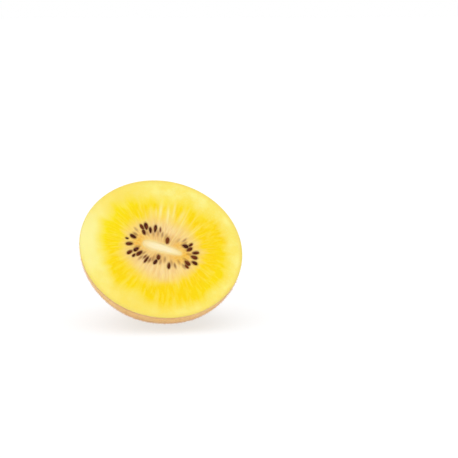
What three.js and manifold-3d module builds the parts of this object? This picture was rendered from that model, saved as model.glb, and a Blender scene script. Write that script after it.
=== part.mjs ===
// Golden kiwi fruit, cut in half across: a cream core in yellow flesh with a ring of seeds, held in
// a thin brown skin that ends in a blunt beak. The half lies back on its round side with its cut
// face up and forward. Millimetres, +Z up, the cut face looks towards -Y, the origin is the middle
// of the small flat spot under the skin.
import * as THREE from 'three';
import * as BufferGeometryUtils from 'three/addons/utils/BufferGeometryUtils.js';
import Module from 'manifold-3d';

const wasm = await Module();
wasm.setup();

// Outside of the half fruit
const LONG_RADIUS = 27.15;
const SHORT_RADIUS = 24.13;
const DEPTH = 39.5;
const TAPER = 1.8;
const SEGMENTS = 72;
const SKIN_RINGS = 16;
const INNER_RINGS = 11;
const LAST_RING_ANGLE = 76;
const SEARCH_STEP = 0.5;
const SAME_POINT = 1e-5;

// How it lies: lean of the face back from upright, turn about the fruit's own length
const LEAN = THREE.MathUtils.degToRad(32);
const ROLL = THREE.MathUtils.degToRad(19.3);
const FLAT_DEPTH = 0.55;

// Skin and its beak: radius and depth of each ring of the beak, the last ones are the pit in its end.
// The body's rings stop at least BEAK_JOIN before the first of them. The tool that hollows the skin
// reaches CUT_ABOVE past the cut face.
const SKIN = 0.7;
const GAP = 0.3;
const BEAK_JOIN = 0.4;
const CUT_ABOVE = 1;
const BEAK = [[4.4, 37.0], [3.9, 38.0], [3.3, 39.0], [2.5, 39.7], [1.5, 39.5]];
const BEAK_PIT_DEPTH = 39.1;

// Core: half its size at the cut face, how much blunter its left end is, how square both ends are
// (1 is an ellipse, less is squarer), and where it ends inside
const CORE_LONG = 6.5;
const CORE_SHORT = 1.3;
const CORE_BLUNT = 0.22;
const CORE_SQUARE = 0.7;
const CORE_SHIFT = 0.4;
const CORE_LENGTH = 26;
const CORE_END = 0.45;

// Seed chambers round the core: sunk between thin ridges, on rings from the core (0) to the rim (1)
const CHAMBERS = 36;
const CHAMBER_DEPTH = 0.25;
const FACE_RINGS = [[0, 0], [0.06, 0.4], [0.13, 1], [0.22, 1], [0.32, 0.8], [0.45, 0.4], [0.7, 0]];

// Seeds that the cut shows: degrees round the core, share of the way from the core to the rim, how far
// each is turned off its ray in degrees, length and width
const SEEDS = [
  [1, 0.22, -6, 2.3, 1.2], [15, 0.24, 5, 2.2, 0.95], [28, 0.16, 16, 2.1, 1.15], [42, 0.14, -49, 2.2, 1.2],
  [84, 0.07, 14, 2.4, 1.25], [112, 0.22, -11, 2.6, 0.95], [122, 0.19, -10, 2.1, 0.8],
  [128, 0.26, -8, 2.5, 1.15], [136, 0.26, 5, 2.1, 0.9], [138, 0.16, -6, 1.9, 0.95],
  [171, 0.19, -6, 2.2, 1.2], [194, 0.22, 3, 2.3, 1.1], [214, 0.15, 17, 2.0, 1.15],
  [216, 0.27, 11, 2.1, 1.0], [228, 0.16, 6, 2.3, 1.15], [249, 0.19, 2, 2.6, 0.7],
  [266, 0.17, -10, 1.9, 1.0], [268, 0.08, 18, 1.8, 1.15], [292, 0.19, -7, 2.1, 0.9],
  [335, 0.19, 2, 2.2, 1.2], [347, 0.27, 3, 2.2, 1.1], [39, 0.225, 9, 1.5, 0.75],
  [226, 0.25, 22, 1.2, 0.7], [327, 0.24, 7, 1.6, 0.7],
];
const SEED_THICKNESS = 0.85;
const SEED_DEPTH = 0.15;

// The fruit's own axes in the row's frame: x along the section's long axis, z out of the cut face
const uphill = new THREE.Vector3(0, Math.sin(LEAN), Math.cos(LEAN));
const outward = new THREE.Vector3(0, -Math.cos(LEAN), Math.sin(LEAN));
const across = new THREE.Vector3(1, 0, 0);
const longAxis = across.clone().multiplyScalar(Math.cos(ROLL)).addScaledVector(uphill, -Math.sin(ROLL));
const shortAxis = across.clone().multiplyScalar(Math.sin(ROLL)).addScaledVector(uphill, Math.cos(ROLL));
const attitude = new THREE.Matrix4().makeBasis(longAxis, shortAxis, outward);
const placement = attitude.clone().setPosition(restShift());

function bodyPoint(angle, turn, inset) {
  // A point of the outside, moved inwards along its normal; angle 0 is the rim and 90 the far end.
  const c = Math.cos(angle);
  const radius = Math.pow(c, TAPER);
  const slope = -TAPER * Math.pow(c, TAPER - 1) * Math.sin(angle);
  const normal = new THREE.Vector3(
    SHORT_RADIUS * DEPTH * c * Math.cos(turn),
    LONG_RADIUS * DEPTH * c * Math.sin(turn),
    LONG_RADIUS * SHORT_RADIUS * slope,
  ).normalize();
  return new THREE.Vector3(
    LONG_RADIUS * radius * Math.cos(turn),
    SHORT_RADIUS * radius * Math.sin(turn),
    -DEPTH * Math.sin(angle),
  ).addScaledVector(normal, -inset);
}

function restShift() {
  // Moves the lowest point of the round side to the origin, less the depth of the flat spot.
  const lowest = new THREE.Vector3(0, 0, Infinity);
  for (let angle = 0; angle < 90; angle += SEARCH_STEP) {
    for (let turn = 0; turn < 360; turn += SEARCH_STEP) {
      const point = bodyPoint(THREE.MathUtils.degToRad(angle), THREE.MathUtils.degToRad(turn), 0);
      point.applyMatrix4(attitude);
      if (point.z < lowest.z) {
        lowest.copy(point);
      }
    }
  }
  return new THREE.Vector3(-lowest.x, -lowest.y, -lowest.z - FLAT_DEPTH);
}

function ringTurns(count) {
  return Array.from({ length: count }, (_, i) => (i / count) * 2 * Math.PI);
}

function bodyRings(rings, inset) {
  // From the rim back to the last ring before the far end.
  const last = THREE.MathUtils.degToRad(LAST_RING_ANGLE);
  return Array.from({ length: rings + 1 }, (_, i) => (
    ringTurns(SEGMENTS).map((turn) => bodyPoint((i / rings) * last, turn, inset))
  ));
}

function coreRadii(turn, grow, scale) {
  // The core's edge: a squared ellipse with one end blunter than the other.
  const width = CORE_SHORT * (1 - CORE_BLUNT * Math.cos(turn)) * scale + grow;
  const side = Math.sign(Math.sin(turn)) * Math.pow(Math.abs(Math.sin(turn)), CORE_SQUARE);
  return [(CORE_LONG * scale + grow) * Math.cos(turn), width * side];
}

function facePoint(share, turn, height) {
  // A point of the cut face on a straight line from the core's edge to the flesh's rim.
  const [x, y] = coreRadii(turn, GAP, 1);
  const rim = bodyPoint(0, turn, SKIN + GAP);
  return new THREE.Vector3(
    THREE.MathUtils.lerp(x + CORE_SHIFT, rim.x, share),
    THREE.MathUtils.lerp(y, rim.y, share),
    height,
  );
}

function solidFromRings(start, rings, end) {
  // A closed body from a start point, rings of equal count and an end point.
  const points = [start, ...rings.flat(), end];
  const count = rings[0].length;
  const faces = [];
  for (let i = 0; i < count; i += 1) {
    const next = (i + 1) % count;
    faces.push([0, 1 + i, 1 + next]);
    for (let r = 0; r + 1 < rings.length; r += 1) {
      const a = 1 + r * count;
      const b = a + count;
      faces.push([a + i, b + i, b + next], [a + i, b + next, a + next]);
    }
    const last = 1 + (rings.length - 1) * count;
    faces.push([points.length - 1, last + next, last + i]);
  }
  const placed = points.map((point) => point.clone().applyMatrix4(placement));
  const vertProperties = new Float32Array(placed.flatMap((point) => point.toArray()));
  const triVerts = new Uint32Array(faces.flat());
  return new wasm.Manifold(new wasm.Mesh({ numProp: 3, vertProperties, triVerts }));
}

function toMesh(name, solid, color, roughness) {
  const { vertProperties, triVerts } = solid.getMesh();
  const geometry = new THREE.BufferGeometry();
  geometry.setAttribute('position', new THREE.BufferAttribute(new Float32Array(vertProperties), 3));
  geometry.setIndex(new THREE.BufferAttribute(new Uint32Array(triVerts), 1));
  const joined = BufferGeometryUtils.mergeVertices(geometry, SAME_POINT);
  joined.computeVertexNormals();
  const material = new THREE.MeshStandardMaterial({ color, roughness });
  const mesh = new THREE.Mesh(joined, material);
  mesh.name = name;
  return mesh;
}

function aboveFloor(solid, height) {
  return solid.trimByPlane([0, 0, 1], height);
}

function middle(ring) {
  const sum = ring.reduce((total, point) => total.add(point), new THREE.Vector3());
  return sum.divideScalar(ring.length);
}

function skin() {
  const bodyEnd = BEAK_JOIN - BEAK[0][1];
  const outside = bodyRings(SKIN_RINGS, 0).filter((ring) => middle(ring).z > bodyEnd);
  const beak = BEAK.map(([radius, depth]) => (
    ringTurns(SEGMENTS).map((turn) => (
      new THREE.Vector3(radius * Math.cos(turn), radius * Math.sin(turn), -depth)
    ))
  ));
  const pit = new THREE.Vector3(0, 0, -BEAK_PIT_DEPTH);
  const shell = solidFromRings(new THREE.Vector3(), [...outside, ...beak], pit);
  const inside = bodyRings(INNER_RINGS, SKIN);
  const lip = inside[0].map((point) => point.clone().setZ(CUT_ABOVE));
  const start = new THREE.Vector3(0, 0, CUT_ABOVE);
  const hollow = solidFromRings(start, [lip, ...inside], middle(inside[INNER_RINGS]));
  return toMesh('skin', aboveFloor(shell, 0).subtract(aboveFloor(hollow, SKIN)), '#b98a4e', 0.75);
}

function seed([degrees, share, turnedOff, length, width]) {
  // A low-sided pip lying on its flat side, its long axis along the ray that it sits on.
  const turn = THREE.MathUtils.degToRad(degrees);
  const from = facePoint(share, turn, 0);
  const along = facePoint(1, turn, 0).sub(from);
  const heading = Math.atan2(along.y, along.x) + THREE.MathUtils.degToRad(turnedOff);
  const shape = new THREE.IcosahedronGeometry(1, 1);
  shape.scale(length / 2, width / 2, SEED_THICKNESS / 2);
  shape.rotateZ(heading);
  shape.translate(from.x, from.y, -SEED_DEPTH);
  shape.applyMatrix4(placement);
  shape.deleteAttribute('normal');
  shape.deleteAttribute('uv');
  const joined = BufferGeometryUtils.mergeVertices(shape);
  const vertProperties = new Float32Array(joined.attributes.position.array);
  const triVerts = new Uint32Array(joined.index.array);
  return new wasm.Manifold(new wasm.Mesh({ numProp: 3, vertProperties, triVerts }));
}

function coreRing(grow, scale, depth) {
  return ringTurns(SEGMENTS).map((turn) => {
    const [x, y] = coreRadii(turn, grow, scale);
    return new THREE.Vector3(x + CORE_SHIFT, y, -depth);
  });
}

function flesh() {
  const socketEnd = CORE_LENGTH + GAP;
  const socket = [coreRing(GAP, CORE_END, socketEnd), coreRing(GAP, (1 + CORE_END) / 2, socketEnd / 2)];
  const perChamber = SEGMENTS / CHAMBERS;
  const face = FACE_RINGS.map(([share, sunk]) => (
    ringTurns(SEGMENTS).map((turn, i) => (
      facePoint(share, turn, i % perChamber === 0 ? -CHAMBER_DEPTH * sunk : 0)
    ))
  ));
  const outside = bodyRings(INNER_RINGS, SKIN + GAP);
  const rings = [...socket, ...face, ...outside];
  const start = middle(socket[0]);
  const body = solidFromRings(start, rings, middle(outside[INNER_RINGS]));
  const solid = wasm.Manifold.union([aboveFloor(body, SKIN + GAP), ...SEEDS.map(seed)]);
  return toMesh('flesh', solid, '#f2cf3c', 0.35);
}

function core() {
  const rings = [
    coreRing(0, 1, 0),
    coreRing(0, (1 + CORE_END) / 2, CORE_LENGTH / 2),
    coreRing(0, CORE_END, CORE_LENGTH),
  ];
  return toMesh('core', solidFromRings(middle(rings[0]), rings, middle(rings[2])), '#fff0c8', 0.5);
}

const fruit = new THREE.Group();
fruit.name = 'golden_kiwi_half';
fruit.add(skin(), flesh(), core());
export default fruit;
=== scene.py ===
"""Golden kiwi fruit, cut in half across, lying back on its round side.

Lengths are worked out in millimetres and written to the meshes in metres.
"""

import math

import bpy
import numpy as np
from bpy.props import FloatProperty, FloatVectorProperty, IntProperty, PointerProperty
from mathutils import Matrix, Vector


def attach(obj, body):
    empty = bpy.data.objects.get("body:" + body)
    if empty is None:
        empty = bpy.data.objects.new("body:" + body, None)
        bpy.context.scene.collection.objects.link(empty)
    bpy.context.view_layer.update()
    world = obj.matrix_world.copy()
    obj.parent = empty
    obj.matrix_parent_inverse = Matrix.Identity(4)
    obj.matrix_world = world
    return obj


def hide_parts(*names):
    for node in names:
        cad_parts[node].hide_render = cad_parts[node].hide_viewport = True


bl_info = {
    "name": "Golden Kiwi Half",
    "version": (1, 0, 0),
    "blender": (4, 5, 0),
    "location": "3D View > Sidebar > Fruit",
    "description": "Builds a halved golden kiwi fruit and its studio stage",
    "category": "Add Mesh",
}

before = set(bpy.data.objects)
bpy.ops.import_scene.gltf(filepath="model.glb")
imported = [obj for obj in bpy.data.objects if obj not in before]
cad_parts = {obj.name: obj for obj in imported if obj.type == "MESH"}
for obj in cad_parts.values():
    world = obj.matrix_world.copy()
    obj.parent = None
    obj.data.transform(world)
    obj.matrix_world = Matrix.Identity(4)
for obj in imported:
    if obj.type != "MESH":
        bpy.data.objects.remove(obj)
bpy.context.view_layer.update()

MM = 0.001
SKIN_WALL = 0.24         # thickness of the skin, mm: paper thin, as on the real fruit
SKIN_INSIDE_FLOOR = 0.24  # the skin's inner side stays this far above the floor, mm
FLESH_INSET = 0.23       # how far the flesh's hidden side lies inside the skin's outside, mm
FLESH_FLOOR = 0.26       # the flesh stays this far above the floor, mm
CREASE = 0.12            # how softly the fruit's side turns into its flat spot, mm
SKIN_LAST_RING = math.radians(76)   # where the inner side of the skin ends at the beak
FLESH_LAST_RING = math.radians(74)  # where the flesh ends inside it
SIDE_RINGS = 25          # rings of the flesh's hidden side
INNER_RINGS = 22         # rings of the skin's inner side
LIP_ACROSS = (0.9, 0.65, 0.4, 0.15)  # where the cut edge's rings lie, as shares of the skin's thickness
SKIN_DENTS = 14          # waves that add up to the skin's soft dents
DENT_DEPTH = 0.02        # of each of them, mm
BEAK_RIDGE = 0.06        # height of the ridges that gather at the beak, mm
SKIN_SWELL = 0.05        # how far the dented skin lies outside the smooth body, mm

# Beak: radius and depth behind the cut of each of its rings, mm, the last ones in the pit of its end
BEAK = ((4.4, 37.0), (4.15, 37.5), (3.9, 38.0), (3.62, 38.5), (3.3, 39.0),
        (2.9, 39.4), (2.5, 39.65), (2.0, 39.7), (1.5, 39.5), (0.7, 39.2))
BEAK_PIT_DEPTH = 39.1
BODY_END = 36.6          # where the body's rings give way to the beak's, mm behind the cut

# Core at the cut face, mm, and where it ends inside the fruit
CORE_LONG = 6.5
CORE_SHORT = 1.3
CORE_BLUNT = 0.22
CORE_SQUARE = 0.7        # below 1 the core's sides run straighter and its ends are blunter
CORE_SHIFT = 0.4
CORE_LENGTH = 26.0
CORE_END = 0.45
CORE_CROWN = 0.06        # how far the core's middle stands proud, mm
CORE_GAP = 0.02          # between the core and its bed in the flesh, mm
CORE_END_GAP = 0.3       # between the core's far end and the bed's, mm
CORE_BED_TOP = 0.9       # how deep the bed's first ring lies under the cut, mm

CHAMBERS = 36
CHAMBER_DEPTH = 0.12     # how far the chambers are sunk, mm
PALE_THREADS = 72        # between the chambers, one to every five degrees or so
STYLES = 15              # dry strands in the beak's pit
FLOOR_HALF = 6000.0      # half the table's side, mm: its edge is never seen

# Seeds lie on straight lines from just outside the core to just inside the skin, each in a shallow bed
SEEDS_FROM_CORE = 0.3    # mm
SEEDS_FROM_SKIN = 1.0    # mm
SEED_BED = 0.2           # how far a seed's bed reaches past the seed, mm
SEED_BED_DEPTH = 0.1     # mm
SHADE_SEED_LONG = 1.3    # half the length of a seed under the cut, mm
SHADE_SEED_WIDE = 0.52   # half its width, mm
SHADE_SEED_BULGE = 0.06  # how far it lifts the flesh above it, mm

# Where the golden ring of chambers starts and ends on the way out, for directions round the core
RING_DIRECTIONS = (0, 45, 98, 145, 188, 222, 240, 261, 288, 320)
RING_STARTS = (0.36, 0.39, 0.49, 0.39, 0.33, 0.43, 0.45, 0.49, 0.46, 0.41)
RING_ENDS = (0.78, 0.77, 0.71, 0.75, 0.66, 0.65, 0.74, 0.72, 0.85, 0.82)

# Dark seeds: degrees round the core, share of the way to the rim, turn in degrees, length and width in mm
SEEDS = (
    (1, 0.22, -6, 2.3, 1.2), (15, 0.24, 5, 2.2, 0.95), (28, 0.16, 16, 2.1, 1.15),
    (42, 0.14, -49, 2.2, 1.2), (84, 0.07, 14, 2.4, 1.25), (112, 0.22, -11, 2.6, 0.95),
    (122, 0.19, -10, 2.1, 0.8), (128, 0.26, -8, 2.5, 1.15), (136, 0.26, 5, 2.1, 0.9),
    (138, 0.16, -6, 1.9, 0.95), (171, 0.19, -6, 2.2, 1.2), (194, 0.22, 3, 2.3, 1.1),
    (214, 0.15, 17, 2.0, 1.15), (216, 0.27, 11, 2.1, 1.0), (228, 0.16, 6, 2.3, 1.15),
    (249, 0.19, 2, 2.6, 0.6), (266, 0.17, -10, 1.9, 1.0), (268, 0.08, 18, 1.8, 1.15),
    (292, 0.19, -7, 2.1, 0.9), (335, 0.19, 2, 2.2, 1.2), (347, 0.27, 3, 2.2, 1.1),
    (39, 0.225, 9, 1.5, 0.75), (226, 0.25, 22, 1.2, 0.7), (181, 0.27, 0, 1.0, 0.5),
    (327, 0.24, 7, 1.6, 0.7),
)
# Seeds that lie just under the cut and only shade it: the same two numbers and how much they show
SHADE_SEEDS = (
    (103, 0.21, 0.8), (98, 0.14, 0.5), (107, 0.15, 0.5), (117, 0.13, 0.45), (90, 0.13, 0.35),
    (321, 0.22, 0.6), (304, 0.19, 0.7), (298, 0.14, 0.4), (255, 0.18, 0.9), (259, 0.13, 0.6),
    (243, 0.16, 0.8), (238, 0.21, 0.6), (275, 0.15, 0.5), (283, 0.1, 0.45), (161, 0.19, 0.65),
    (55, 0.21, 0.6), (49, 0.17, 0.5), (234, 0.12, 0.45), (316, 0.13, 0.4), (64, 0.15, 0.3),
    (8, 0.13, 0.4), (150, 0.25, 0.4), (205, 0.1, 0.45), (339, 0.12, 0.4), (131, 0.14, 0.4),
)


def smooth(value, low, high):
    """0 below low, 1 above high, smooth between them."""
    part = np.clip((value - low) / (high - low), 0.0, 1.0)
    return part * part * (3.0 - 2.0 * part)


def waves(angle, seed, low, high, count):
    """A smooth seeded wave round a full turn, between about -1 and 1."""
    draw = np.random.default_rng(seed)
    total = np.zeros_like(angle)
    for _ in range(count):
        total += np.cos(draw.integers(low, high + 1) * angle + draw.uniform(0, 2 * math.pi))
    return total / math.sqrt(count)


class Fruit:
    """The fruit's own axes (x along the section's long axis, z out of the cut) in the row's frame."""

    def __init__(self, shape):
        self.long = shape.long_radius
        self.short = shape.short_radius
        self.depth = shape.depth
        self.taper = shape.taper
        lean, roll = shape.lean, shape.roll
        uphill = np.array([0.0, math.sin(lean), math.cos(lean)])
        across = np.array([1.0, 0.0, 0.0])
        x = across * math.cos(roll) - uphill * math.sin(roll)
        y = across * math.sin(roll) + uphill * math.cos(roll)
        z = np.array([0.0, -math.cos(lean), math.sin(lean)])
        self.axes = np.array([x, y, z])
        angle = np.radians(np.arange(0, 90, 0.5))[:, None]
        turn = np.radians(np.arange(0, 360, 0.5))[None, :]
        cloud = (self.body(angle, turn, 0.0) @ self.axes).reshape(-1, 3)
        low = cloud[cloud[:, 2].argmin()]
        self.shift = np.array([-low[0], -low[1], -low[2] - shape.flat_depth])

    def body(self, angle, turn, inset):
        """Points of the outside moved inwards along the normal; angle 0 is the rim."""
        cosine, sine = np.cos(angle), np.sin(angle)
        radius = cosine ** self.taper
        slope = -self.taper * cosine ** (self.taper - 1) * sine
        one = np.ones_like(angle * turn)
        normal = np.stack([
            self.short * self.depth * cosine * np.cos(turn) * one,
            self.long * self.depth * cosine * np.sin(turn) * one,
            self.long * self.short * slope * one,
        ], -1)
        normal /= np.linalg.norm(normal, axis=-1, keepdims=True)
        points = np.stack([
            self.long * radius * np.cos(turn) * one,
            self.short * radius * np.sin(turn) * one,
            -self.depth * sine * one,
        ], -1)
        return points - normal * np.asarray(inset)[..., None]

    def core(self, turn, grow, scale):
        """The core's edge: an ellipse with one end blunter than the other."""
        width = CORE_SHORT * (1 - CORE_BLUNT * np.cos(turn)) * scale + grow
        side = np.sign(np.sin(turn)) * np.abs(np.sin(turn)) ** CORE_SQUARE
        long_way = (CORE_LONG * scale + grow) * np.cos(turn)
        return np.stack([long_way + CORE_SHIFT, width * side, np.zeros_like(turn)], -1)

    def face(self, share, turn, inset=FLESH_INSET, grow=0.0):
        """Points of the cut face on straight lines from the core's edge to the rim."""
        share, turn = np.broadcast_arrays(share, turn)
        start = self.core(turn, grow, 1.0)
        end = self.body(np.zeros_like(turn), turn, inset)
        return start + (end - start) * share[..., None]

    def to_row(self, points):
        """From the fruit's own axes to the row's frame, both in mm."""
        return points @ self.axes + self.shift

    def matrix(self):
        """From the fruit's own axes to the row's frame, both in metres."""
        turned = Matrix(self.axes.T.tolist()).to_4x4()
        return Matrix.Translation(Vector((self.shift * MM).tolist())) @ turned


def settle(points, floor):
    """Presses what is under the floor up to it, with a soft crease."""
    height = points[..., 2] - floor
    soft = (height + CREASE) ** 2 / (4 * CREASE)
    points[..., 2] = floor + np.where(height > CREASE, height, np.where(height < -CREASE, 0.0, soft))
    return points


def grid_faces(rings, count):
    """Quads between rings of equal count, and fans to a first and a last point."""
    point = np.arange(count)
    beside = (point + 1) % count
    quads = []
    for ring in range(rings - 1):
        first = 1 + ring * count
        after = first + count
        quads.append(np.stack([first + point, after + point, after + beside, first + beside], -1))
    faces = np.concatenate(quads).tolist()
    last = 1 + (rings - 1) * count
    faces += [[0, 1 + k, 1 + (k + 1) % count] for k in range(count)]
    faces += [[last + count, last + (k + 1) % count, last + k] for k in range(count)]
    return faces


def new_piece(name, points, faces, floats=None, vectors=None):
    """A mesh object at the origin from points in mm in the row's frame, with attributes."""
    mesh = bpy.data.meshes.new(name)
    mesh.from_pydata((points * MM).tolist(), [], faces)
    for key, values in (floats or {}).items():
        layer = mesh.attributes.new(key, "FLOAT", "POINT")
        layer.data.foreach_set("value", np.ascontiguousarray(values, np.float32).ravel())
    for key, values in (vectors or {}).items():
        layer = mesh.attributes.new(key, "FLOAT_VECTOR", "POINT")
        layer.data.foreach_set("vector", np.ascontiguousarray(values, np.float32).ravel())
    mesh.polygons.foreach_set("use_smooth", [True] * len(mesh.polygons))
    mesh.validate()
    mesh.update()
    piece = bpy.data.objects.new(name, mesh)
    bpy.context.scene.collection.objects.link(piece)
    return piece


# Materials

# Short names for the kinds of node, each with its usual settings
KINDS = {
    "attribute": ("ShaderNodeAttribute", {}),
    "object place": ("ShaderNodeTexCoord", {}),
    "ray kind": ("ShaderNodeLightPath", {}),
    "stretch": ("ShaderNodeMapping", {}),
    "noise": ("ShaderNodeTexNoise", {}),
    "cells": ("ShaderNodeTexVoronoi", {}),
    "bump": ("ShaderNodeBump", {}),
    "mix": ("ShaderNodeMix", {"data_type": "RGBA"}),
    "step": ("ShaderNodeMapRange", {"interpolation_type": "SMOOTHSTEP"}),
    "plus": ("ShaderNodeMath", {"operation": "ADD"}),
    "minus": ("ShaderNodeMath", {"operation": "SUBTRACT"}),
    "times": ("ShaderNodeMath", {"operation": "MULTIPLY"}),
    "power": ("ShaderNodeMath", {"operation": "POWER"}),
    "size of": ("ShaderNodeMath", {"operation": "ABSOLUTE"}),
    "sign of": ("ShaderNodeMath", {"operation": "SIGN"}),
    "over": ("ShaderNodeMath", {"operation": "DIVIDE"}),
    "larger": ("ShaderNodeMath", {"operation": "MAXIMUM"}),
    "root": ("ShaderNodeMath", {"operation": "SQRT"}),
    "join": ("ShaderNodeCombineXYZ", {}),
    "split": ("ShaderNodeSeparateXYZ", {}),
    "longer": ("ShaderNodeVectorMath", {"operation": "SCALE"}),
    "number": ("GeometryNodeInputNamedAttribute", {"data_type": "FLOAT"}),
    "vector": ("GeometryNodeInputNamedAttribute", {"data_type": "FLOAT_VECTOR"}),
    "keep number": ("GeometryNodeStoreNamedAttribute", {"data_type": "FLOAT", "domain": "POINT"}),
    "keep vector": ("GeometryNodeStoreNamedAttribute", {"data_type": "FLOAT_VECTOR", "domain": "POINT"}),
    "position": ("GeometryNodeInputPosition", {}),
    "fine ball": ("GeometryNodeMeshIcoSphere", {}),
    "globe": ("GeometryNodeMeshUVSphere", {}),
    "cone": ("GeometryNodeMeshCone", {"fill_type": "TRIANGLE_FAN"}),
    "move": ("GeometryNodeSetPosition", {}),
    "more than": ("FunctionNodeCompare", {"data_type": "FLOAT", "operation": "GREATER_THAN"}),
    "random": ("FunctionNodeRandomValue", {"data_type": "FLOAT"}),
    "rotation": ("FunctionNodeEulerToRotation", {}),
    "turn on": ("FunctionNodeRotateRotation", {"rotation_space": "LOCAL"}),
    "sow": ("GeometryNodeDistributePointsOnFaces", {"distribute_method": "RANDOM"}),
    "instances": ("GeometryNodeInstanceOnPoints", {}),
    "realize": ("GeometryNodeRealizeInstances", {}),
    "smooth shade": ("GeometryNodeSetShadeSmooth", {}),
    "material": ("GeometryNodeSetMaterial", {}),
}


def linear(code):
    """An sRGB hex colour as linear RGBA."""
    values = [int(code[i:i + 2], 16) / 255 for i in (1, 3, 5)]
    return tuple(value / 12.92 if value <= 0.04045 else ((value + 0.055) / 1.055) ** 2.4
                 for value in values) + (1,)


def add(tree, kind, *values, output=None, **named):
    """Adds a node and returns one of its outputs, the first one unless it is named.

    The values fill the node's inputs in order, and each is a number or another node's output.
    A name with a capital is an input too, with _ for a space; any other name is a setting.
    """
    node_type, usual = KINDS[kind]
    node = tree.nodes.new(node_type)
    for key, value in {**usual, **named}.items():
        if key[0].islower():
            setattr(node, key, value)
    free = [socket for socket in node.inputs if socket.enabled]
    pairs = list(zip(free, values))
    for key, value in named.items():
        if key[0].isupper():
            pairs.append((next(s for s in free if s.name == key.replace("_", " ")), value))
    for socket, value in pairs:
        if isinstance(value, bpy.types.NodeSocket):
            tree.links.new(value, socket)
        elif value is not None:
            socket.default_value = value
    if output:
        return node.outputs[output]
    return next(socket for socket in node.outputs if socket.enabled)


def new_material(name, **sockets):
    """A Principled material, its tree and shader; spaces in socket names are written as underscores."""
    material = bpy.data.materials.new(name)
    material.use_nodes = True
    shader = material.node_tree.nodes["Principled BSDF"]
    for key, value in sockets.items():
        shader.inputs[key.replace("_", " ")].default_value = value
    return material, material.node_tree, shader


def flesh_material(look):
    """Ripe kiwi flesh, cut with a knife: light goes a little way in, so its yellow is full and soft."""
    material, tree, shader = new_material(
        "ripe_kiwi_flesh", Roughness=0.45, IOR=1.38, Specular_IOR_Level=0.16, Subsurface_Weight=0.35,
        Subsurface_Scale=0.0007, Subsurface_Radius=(1.0, 0.8, 0.25))
    names = ("gold", "lemon", "inner", "peach", "ray", "halo", "amber", "tan", "shade", "under_skin",
             "painted_lit_side", "deep_side")
    masks = {name: add(tree, "attribute", attribute_name=name, output="Fac") for name in names}
    polar = add(tree, "attribute", attribute_name="polar", output="Vector")
    own = add(tree, "attribute", attribute_name="own_mm", output="Vector")
    # Threads run out from the core, about three degrees wide, and broader ones about six.
    # Patches are near 5 mm wide and the grain of juicy cells near 0.7 mm.
    threads = add(tree, "noise", add(tree, "stretch", polar, Scale=(19, 19, 5)), Scale=1.0, Detail=3.0)
    wide = add(tree, "noise", add(tree, "stretch", polar, Scale=(9, 9, 3.0)), Scale=1.0, Detail=2.0)
    patches = add(tree, "noise", own, Scale=0.2, Detail=3.0, Roughness=0.55)
    grain = add(tree, "noise", own, Scale=1.5, Detail=4.0, Roughness=0.6)
    # Pale outer flesh, made paler still on its left side by painted light, and deeper towards the bottom
    rim = add(tree, "mix", add(tree, "step", patches, 0.35, 0.68), tuple(look.rim), linear("#fef08e"))
    flecks = add(tree, "times", add(tree, "step", grain, 0.5, 0.72), 0.3)
    rim = add(tree, "mix", flecks, rim, linear("#fff4b0"))
    rim = add(tree, "mix", masks["painted_lit_side"], rim, linear("#fff29c"))
    rim = add(tree, "mix", add(tree, "times", masks["deep_side"], 0.7), rim, linear("#fcdf5c"))
    rim = add(tree, "mix", masks["under_skin"], rim, linear("#fce06c"))
    rim = add(tree, "mix", add(tree, "times", masks["inner"], 0.85), rim, linear("#fad472"))
    # Golden ring of chambers, broken up by threads and patches
    broken = add(tree, "plus", add(tree, "times", add(tree, "step", wide, 0.34, 0.56), 0.32),
                 add(tree, "times", add(tree, "step", patches, 0.34, 0.6), 0.3))
    amount = add(tree, "times", masks["gold"], add(tree, "plus", broken, 0.74), use_clamp=True)
    gold = add(tree, "mix", add(tree, "step", grain, 0.3, 0.7), tuple(look.gold), linear("#fdd900"))
    gold = add(tree, "mix", add(tree, "times", masks["lemon"], 0.8, use_clamp=True), gold, linear("#fbe400"))
    streak = add(tree, "times", add(tree, "step", threads, 0.46, 0.66), 0.36)
    gold = add(tree, "mix", streak, gold, linear("#fde54a"))
    colour = add(tree, "mix", amount, rim, gold)
    # Peach-coloured zone of the seeds, with fine soft threads
    peach = add(tree, "mix", add(tree, "step", threads, 0.34, 0.64), linear("#f1ca84"), linear("#f9da98"))
    colour = add(tree, "mix", masks["peach"], colour, peach)
    # Pale threads between the chambers
    pale = add(tree, "plus", add(tree, "times", add(tree, "step", patches, 0.36, 0.62), 0.4), 0.6)
    ray = add(tree, "times", masks["ray"], pale, use_clamp=True)
    colour = add(tree, "mix", ray, colour, linear("#feefa6"))
    # Tan flesh close round the core, amber at the core's ends
    tan = add(tree, "mix", add(tree, "step", threads, 0.34, 0.62), linear("#e2b268"), linear("#efca80"))
    colour = add(tree, "mix", masks["tan"], colour, tan)
    amber = add(tree, "mix", add(tree, "step", grain, 0.3, 0.7), linear("#eeb034"), linear("#f7cc5c"))
    colour = add(tree, "mix", masks["amber"], colour, amber)
    # Brown shade of the seeds that lie under the cut
    soft = add(tree, "plus", add(tree, "times", add(tree, "step", threads, 0.3, 0.65), 0.6), 0.75)
    shade = add(tree, "times", masks["shade"], soft, use_clamp=True)
    colour = add(tree, "mix", shade, colour, linear("#86522e"))
    # The core's colour runs out a little into the flesh
    halo = add(tree, "mix", masks["halo"], linear("#f5cf7e"), linear("#ffe19c"))
    colour = add(tree, "mix", masks["halo"], colour, halo)
    tree.links.new(colour, shader.inputs["Base Color"])
    relief = add(tree, "plus", add(tree, "times", threads, 0.35), add(tree, "times", grain, 0.6))
    bump = add(tree, "bump", Height=relief, Distance=0.12 * MM, Strength=0.4)
    tree.links.new(bump, shader.inputs["Normal"])
    return material


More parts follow.
